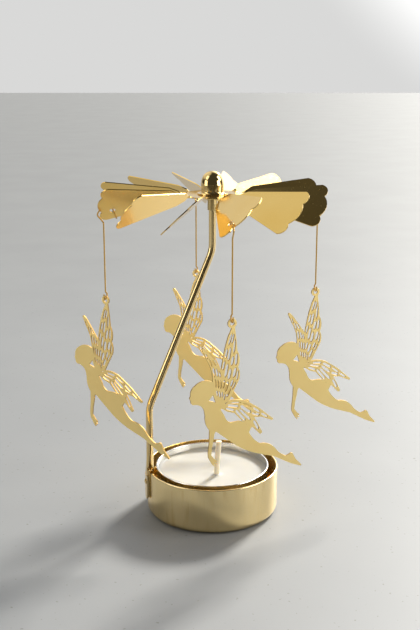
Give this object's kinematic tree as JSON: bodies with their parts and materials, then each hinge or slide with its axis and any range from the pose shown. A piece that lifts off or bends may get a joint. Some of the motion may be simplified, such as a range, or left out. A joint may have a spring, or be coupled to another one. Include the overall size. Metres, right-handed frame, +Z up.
{
  "type": "angel chime carousel",
  "caption": "Tealight cup with a bent post whose needle carries a spinning bladed pinwheel, from which flat pierced fairy figures hang on wire hooks.",
  "frame": {"origin": "centre of the cup's flat underside, where the object stands", "axes": "+Z up along the pinwheel axis, -Y towards the viewer of the picture, +X to their right; the post stands at the left side"},
  "size_m": [0.1072, 0.0842, 0.1192],
  "materials": {
    "brushed_gold": "satin brushed",
    "polished_gold": "polished",
    "etched_gold": "satin",
    "grey_gold": "satin",
    "candle_foil": "bright",
    "tin_plate": "bright",
    "needle_steel": "ground",
    "bearing_steel": "polished",
    "candle_wax": "waxy",
    "wick_cotton": "waxed cotton"
  },
  "bodies": {
    "stand": {"cup_shell": "brushed_gold", "mast": "polished_gold", "rim_clip": "polished_gold", "mast_rivet": "polished_gold", "collar": "grey_gold", "needle": "needle_steel"},
    "candle": {"tealight_shell": "candle_foil", "wax": "candle_wax", "wick": "wick_cotton", "wick_sustainer": "tin_plate"},
    "pinwheel": {"rotor": "polished_gold", "dome_cap": "polished_gold", "bearing_cup": "bearing_steel"},
    "hanger_right": {"hanger_wire_right": "polished_gold"},
    "fairy_right": {"fairy_right": "etched_gold"},
    "hanger_back": {"hanger_wire_back": "polished_gold"},
    "fairy_back": {"fairy_back": "etched_gold"},
    "hanger_left": {"hanger_wire_left": "polished_gold"},
    "fairy_left": {"fairy_left": "etched_gold"},
    "hanger_front": {"hanger_wire_front": "polished_gold"},
    "fairy_front": {"fairy_front": "etched_gold"}
  },
  "joints": [
    {"name": "rotor_spin", "type": "hinge", "parent": "stand", "child": "pinwheel", "pos_m": [0, 0, 0.1173], "axis": [0, 0, 1], "continuous": true},
    {"name": "candle_lift", "type": "slide", "parent": "stand", "child": "candle", "axis": [0, 0, 1], "range_m": [0, 0.022]},
    {"name": "swing_right", "type": "hinge", "parent": "pinwheel", "child": "hanger_right", "pos_m": [0.03243, 0.00554, 0.1071], "axis": [0.1683, -0.9857, 0], "range_deg": [0, 12]},
    {"name": "twist_right", "type": "hinge", "parent": "hanger_right", "child": "fairy_right", "pos_m": [0.03548, 0.00606, 0.0774], "axis": [0, 0, 1], "range_deg": [-20, 20]},
    {"name": "swing_back", "type": "hinge", "parent": "pinwheel", "child": "hanger_back", "pos_m": [-0.00554, 0.03243, 0.1071], "axis": [0.9857, 0.1683, 0], "range_deg": [0, 12]},
    {"name": "twist_back", "type": "hinge", "parent": "hanger_back", "child": "fairy_back", "pos_m": [-0.00606, 0.03548, 0.0774], "axis": [0, 0, 1], "range_deg": [-8, 20]},
    {"name": "swing_left", "type": "hinge", "parent": "pinwheel", "child": "hanger_left", "pos_m": [-0.03243, -0.00554, 0.1071], "axis": [-0.1683, 0.9857, 0], "range_deg": [0, 12]},
    {"name": "twist_left", "type": "hinge", "parent": "hanger_left", "child": "fairy_left", "pos_m": [-0.03548, -0.00606, 0.0774], "axis": [0, 0, 1], "range_deg": [-25, 0]},
    {"name": "swing_front", "type": "hinge", "parent": "pinwheel", "child": "hanger_front", "pos_m": [0.00554, -0.03243, 0.1071], "axis": [-0.9857, -0.1683, 0], "range_deg": [0, 12]},
    {"name": "twist_front", "type": "hinge", "parent": "hanger_front", "child": "fairy_front", "pos_m": [0.00606, -0.03548, 0.0774], "axis": [0, 0, 1], "range_deg": [-20, 20]}
  ]
}
